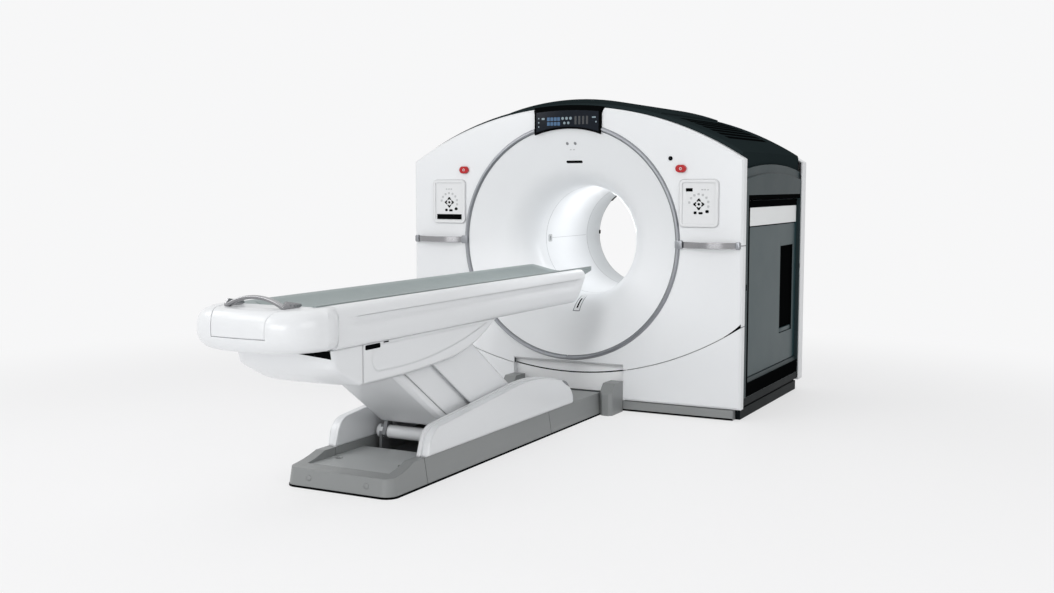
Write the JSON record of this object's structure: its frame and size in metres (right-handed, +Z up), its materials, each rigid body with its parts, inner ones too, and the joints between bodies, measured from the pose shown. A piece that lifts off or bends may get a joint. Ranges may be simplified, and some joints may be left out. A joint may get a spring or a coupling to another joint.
{
  "type": "pet-ct scanner",
  "caption": "PET-CT scanner: ring gantry with a flared patient bore and hinged side doors, and a lifting patient table whose cradle slides into the bore.",
  "frame": {"origin": "on the floor, at the middle of the machine's whole length and width", "axes": "+Y from the table's foot end into the gantry, +X to the right seen from the table, +Z up"},
  "size_m": [2.256, 4.4666, 1.93],
  "materials": {
    "cover_white": "gloss",
    "funnel_white": "satin",
    "window_grey": "satin",
    "trim_silver": "satin",
    "chrome": "polished",
    "graphite": "satin",
    "door_slate": "satin",
    "black": "satin",
    "display": "gloss",
    "panel_grey": "satin",
    "stop_red": "gloss",
    "base_grey": "satin",
    "steel": "satin",
    "well_dark": "satin",
    "shaft_steel": "brushed",
    "inner_box": "satin",
    "cradle_grey": "satin",
    "pad_grey": "soft"
  },
  "bodies": {
    "frame": {"base_cap": "base_grey", "base_frame": "steel", "base_middle": "base_grey", "base_rear": "base_grey", "bore_liner": "funnel_white", "display_bezel": "black", "display_glass": "display", "dock_brackets": "base_grey", "dock_panel": "cover_white", "electronics_racks": "inner_box", "front_cover_lower": "cover_white", "front_cover_middle": "cover_white", "front_cover_upper_left": "cover_white", "front_cover_upper_right": "cover_white", "funnel": "funnel_white", "gantry_frame": "steel", "grab_handles": "chrome", "keypads": "panel_grey", "kick_plate": "base_grey", "leg_covers": "cover_white", "lift_gearmotor": "inner_box", "lower_shafts": "shaft_steel", "panel_bezels": "panel_grey", "pet_ring": "inner_box", "rear_cover": "cover_white", "rear_funnel": "funnel_white", "roof_cover": "graphite", "scan_window": "window_grey", "side_frames": "graphite", "side_plinths": "graphite", "slip_bearing": "steel", "table_tray": "steel", "trim_ring": "trim_silver", "well_floor": "well_dark"},
    "rotor": {"ct_rotor": "steel", "xray_tube": "inner_box", "ct_detector": "inner_box", "hv_generator": "inner_box"},
    "right_door": {"door_right": "door_slate", "door_plate_right": "trim_silver"},
    "left_door": {"door_left": "door_slate", "door_plate_left": "trim_silver"},
    "right_stop": {"stop_button_right": "stop_red"},
    "left_stop": {"stop_button_left": "stop_red"},
    "front_arm": {"front_arm": "steel", "front_arm_cover": "cover_white", "leg_mid_panels": "cover_white"},
    "rear_arm": {"rear_arm": "steel", "rear_arm_cover": "cover_white"},
    "platform": {"chassis": "steel", "upper_shafts": "shaft_steel", "hull_front": "cover_white", "hull_rear": "cover_white", "side_covers": "cover_white", "end_cover": "cover_white", "nose_cover": "cover_white"},
    "cradle": {"cradle": "cradle_grey", "cradle_pad": "pad_grey", "cradle_foot": "cover_white"},
    "handle": {"release_handle": "chrome"}
  },
  "joints": [
    {"name": "rotor_spin", "type": "hinge", "parent": "frame", "child": "rotor", "pos_m": [0, 1.33333, 1.04], "axis": [0, 1, 0], "continuous": true},
    {"name": "right_door_hinge", "type": "hinge", "parent": "frame", "child": "right_door", "pos_m": [1.09, 0.99833, 0.77], "axis": [0, 0, -1], "range_deg": [0, 95]},
    {"name": "left_door_hinge", "type": "hinge", "parent": "frame", "child": "left_door", "pos_m": [-1.09, 0.99833, 0.77], "axis": [0, 0, 1], "range_deg": [0, 95]},
    {"name": "right_stop_press", "type": "slide", "parent": "frame", "child": "right_stop", "axis": [0, 1, 0], "range_m": [0, 0.004], "stiffness_N_per_m": 1500},
    {"name": "left_stop_press", "type": "slide", "parent": "frame", "child": "left_stop", "axis": [0, 1, 0], "range_m": [0, 0.004], "stiffness_N_per_m": 1500},
    {"name": "table_lift", "type": "hinge", "parent": "frame", "child": "front_arm", "pos_m": [0, -0.92667, 0.15], "axis": [-1, 0, 0], "range_deg": [-22.5, 4]},
    {"name": "rear_arm_swing", "type": "hinge", "parent": "frame", "child": "rear_arm", "pos_m": [0, -0.32667, 0.15], "axis": [-1, 0, 0], "range_deg": [-22.5, 4]},
    {"name": "platform_level", "type": "hinge", "parent": "front_arm", "child": "platform", "pos_m": [0, -1.57133, 0.678], "axis": [-1, 0, 0], "range_deg": [-4, 22.5]},
    {"name": "cradle_slide", "type": "slide", "parent": "platform", "child": "cradle", "axis": [0, 1, 0], "range_m": [0, 1.7]},
    {"name": "handle_lift", "type": "hinge", "parent": "cradle", "child": "handle", "pos_m": [0, -2.01733, 0.907], "axis": [-1, 0, 0], "range_deg": [0, 20], "stiffness_Nm_per_rad": 6, "springref_deg": -17.19}
  ],
  "couplings": [
    {"joint": "rear_arm_swing", "follows": "table_lift", "ratio": 1},
    {"joint": "platform_level", "follows": "table_lift", "ratio": -1}
  ]
}
